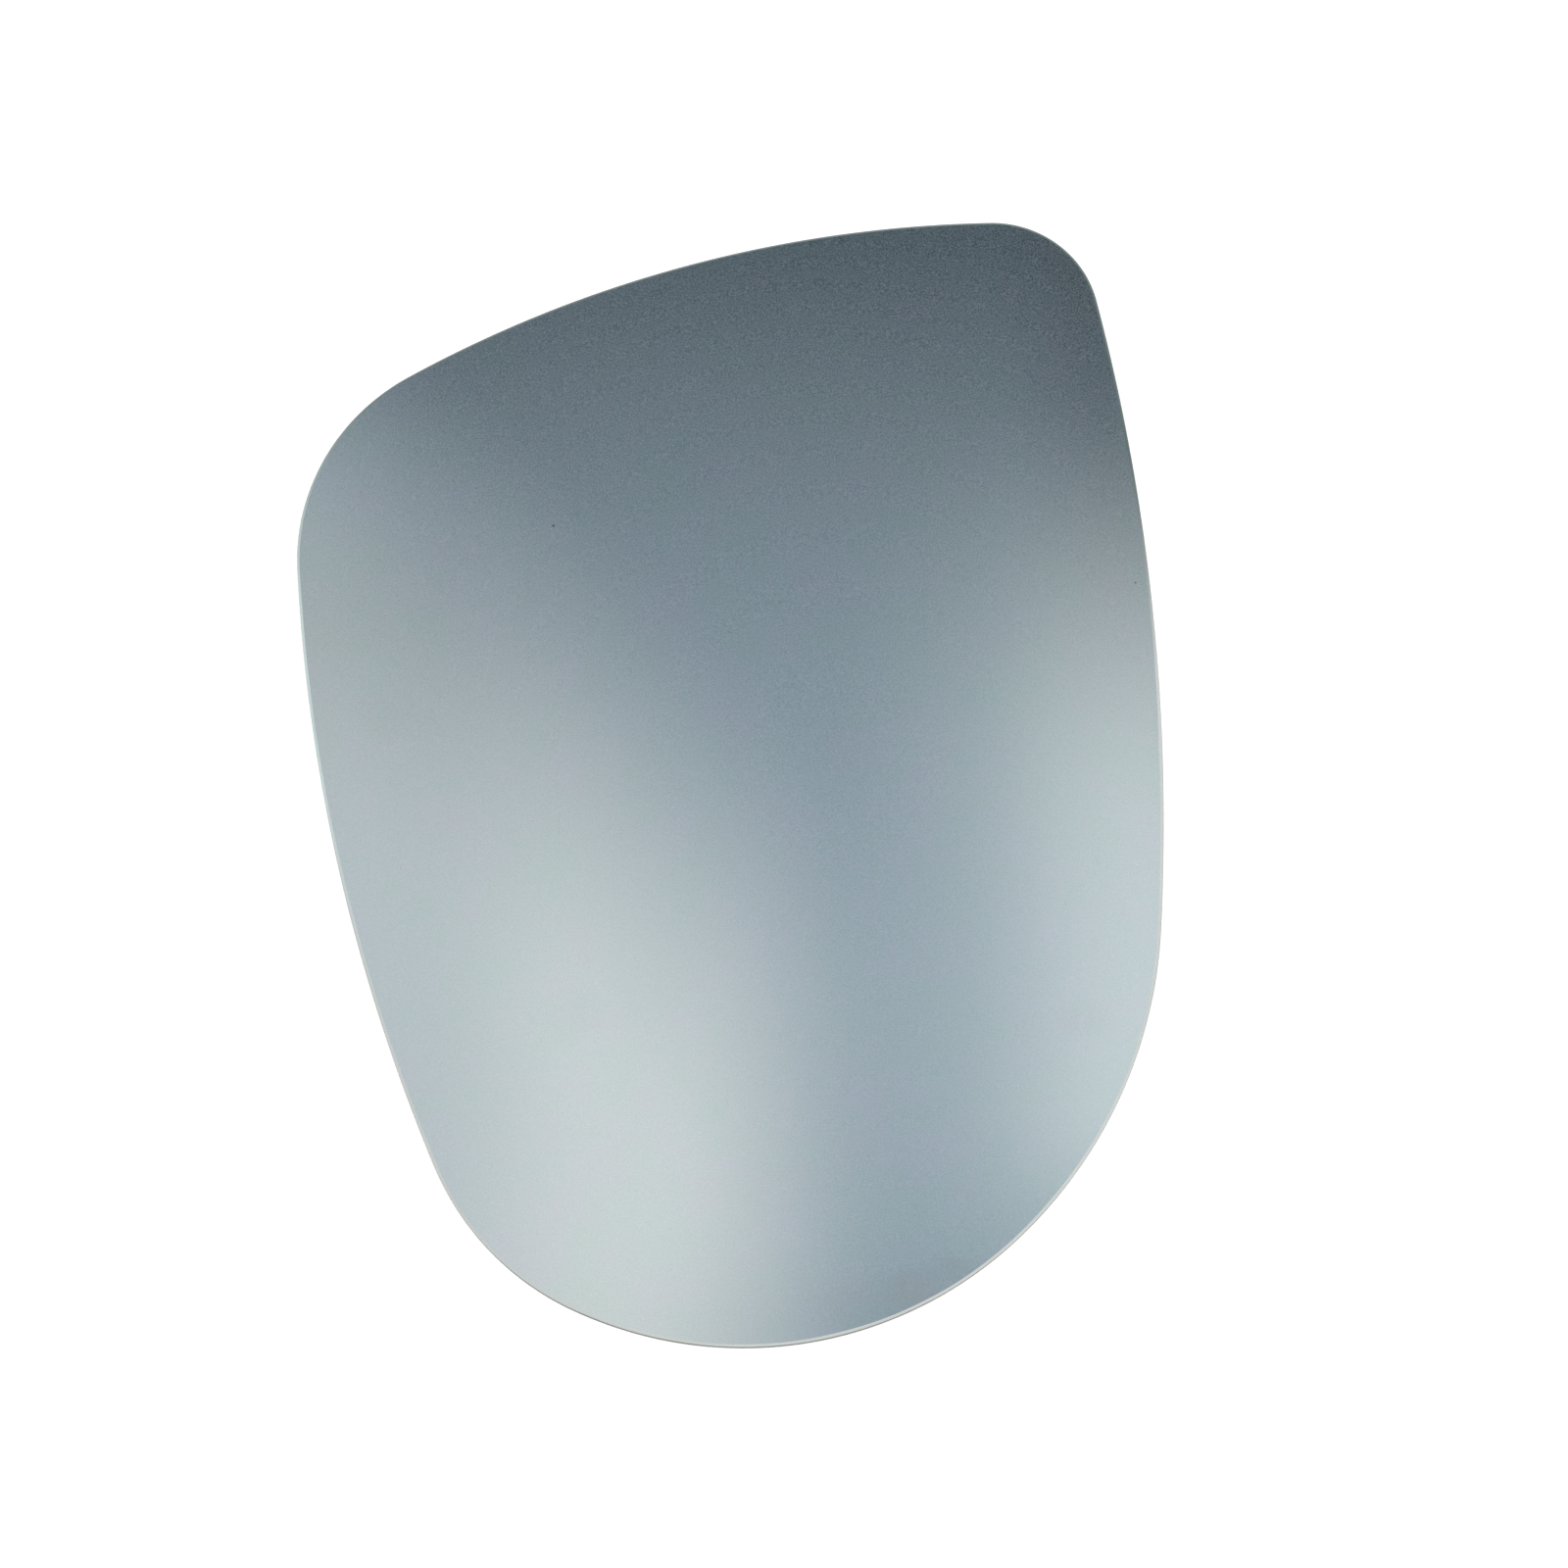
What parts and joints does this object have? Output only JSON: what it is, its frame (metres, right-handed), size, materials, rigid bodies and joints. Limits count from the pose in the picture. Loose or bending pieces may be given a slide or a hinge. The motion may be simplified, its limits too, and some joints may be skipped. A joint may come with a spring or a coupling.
{
  "type": "car door mirror glass",
  "caption": "Domed mirror glass for a car door mirror, cut to a tapering rounded outline, with a ground edge and a painted back.",
  "frame": {"origin": "middle of the outline's box, on the surface that the glass lies on", "axes": "+Z out of the mirror face, +Y along the glass's length towards its tight corner, +X to the right as the mirror face is seen with +Y up"},
  "size_m": [0.1273, 0.1692, 0.0052],
  "materials": {
    "mirror_glass": "polished, silvered behind"
  },
  "bodies": {
    "root": {"mirror_glass": "mirror_glass"}
  },
  "joints": []
}
